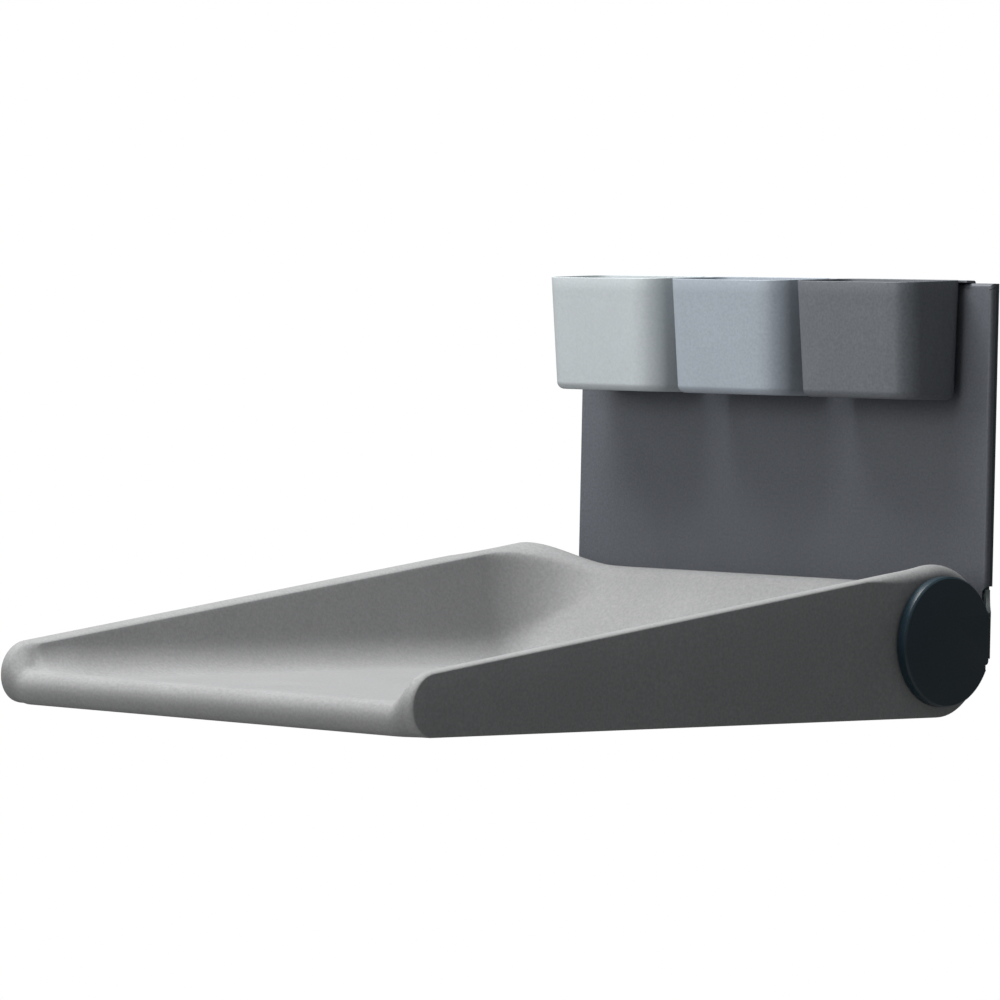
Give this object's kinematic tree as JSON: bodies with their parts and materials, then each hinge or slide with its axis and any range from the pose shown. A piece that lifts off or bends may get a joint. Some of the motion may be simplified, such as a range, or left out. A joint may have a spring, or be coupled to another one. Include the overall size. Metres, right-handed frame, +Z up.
{
  "type": "wall-mounted baby changing station",
  "caption": "Wall-mounted baby changing station: a folding foam tray on a steel panel between round hinge covers, with open containers hung on the panel's top edge.",
  "frame": {"origin": "centre of the four wall bolts, on the wall plate's rear face", "axes": "+X along the wall, to the right for someone facing it; +Y into the wall; +Z up. The open tray points along -Y."},
  "size_m": [0.624, 0.81, 0.4361],
  "materials": {
    "panel_steel": "fine-textured powder coat, slate grey",
    "dark_steel": "satin powder coat, near black",
    "cover_plastic": "fine-grained moulded plastic, blue-black",
    "screw_steel": "bright zinc",
    "machined_steel": "turned",
    "bearing_plastic": "plain bearing plastic",
    "lining": "friction lining",
    "frame_steel": "primed",
    "board": "plywood",
    "tray_foam": "integral-skin foam with a fine matt grain",
    "light_plastic": "light grey, satin",
    "middle_plastic": "mid grey, satin",
    "dark_plastic": "dark grey, satin"
  },
  "bodies": {
    "wall_unit": {"wall_plate": "dark_steel", "front_panel": "panel_steel", "panel_screws": "screw_steel", "left_bracket": "dark_steel", "right_bracket": "dark_steel", "bracket_screws": "screw_steel", "left_cover": "cover_plastic", "right_cover": "cover_plastic", "cover_screws": "screw_steel", "left_axle": "machined_steel", "right_axle": "machined_steel", "axle_screws": "screw_steel", "left_stop_pin": "machined_steel", "right_stop_pin": "machined_steel"},
    "tray": {"tray_body": "tray_foam", "left_tray_arm": "frame_steel", "right_tray_arm": "frame_steel", "left_bush": "bearing_plastic", "right_bush": "bearing_plastic", "left_friction_lining": "lining", "right_friction_lining": "lining", "left_disc_spring": "machined_steel", "right_disc_spring": "machined_steel", "front_cross_bar": "frame_steel", "rear_cross_bar": "frame_steel", "frame_screws": "screw_steel", "base_board": "board"},
    "light_bin": {"light_container": "light_plastic"},
    "middle_bin": {"middle_container": "middle_plastic"},
    "dark_bin": {"dark_container": "dark_plastic"}
  },
  "joints": [
    {"name": "tray_fold", "type": "hinge", "parent": "wall_unit", "child": "tray", "pos_m": [0, -0.0905, -0.1685], "axis": [-1, 0, 0], "range_deg": [0, 90]},
    {"name": "light_bin_lift", "type": "slide", "parent": "wall_unit", "child": "light_bin", "axis": [0, 0, 1], "range_m": [0, 0.12]},
    {"name": "middle_bin_lift", "type": "slide", "parent": "wall_unit", "child": "middle_bin", "axis": [0, 0, 1], "range_m": [0, 0.12]},
    {"name": "dark_bin_lift", "type": "slide", "parent": "wall_unit", "child": "dark_bin", "axis": [0, 0, 1], "range_m": [0, 0.12]}
  ]
}
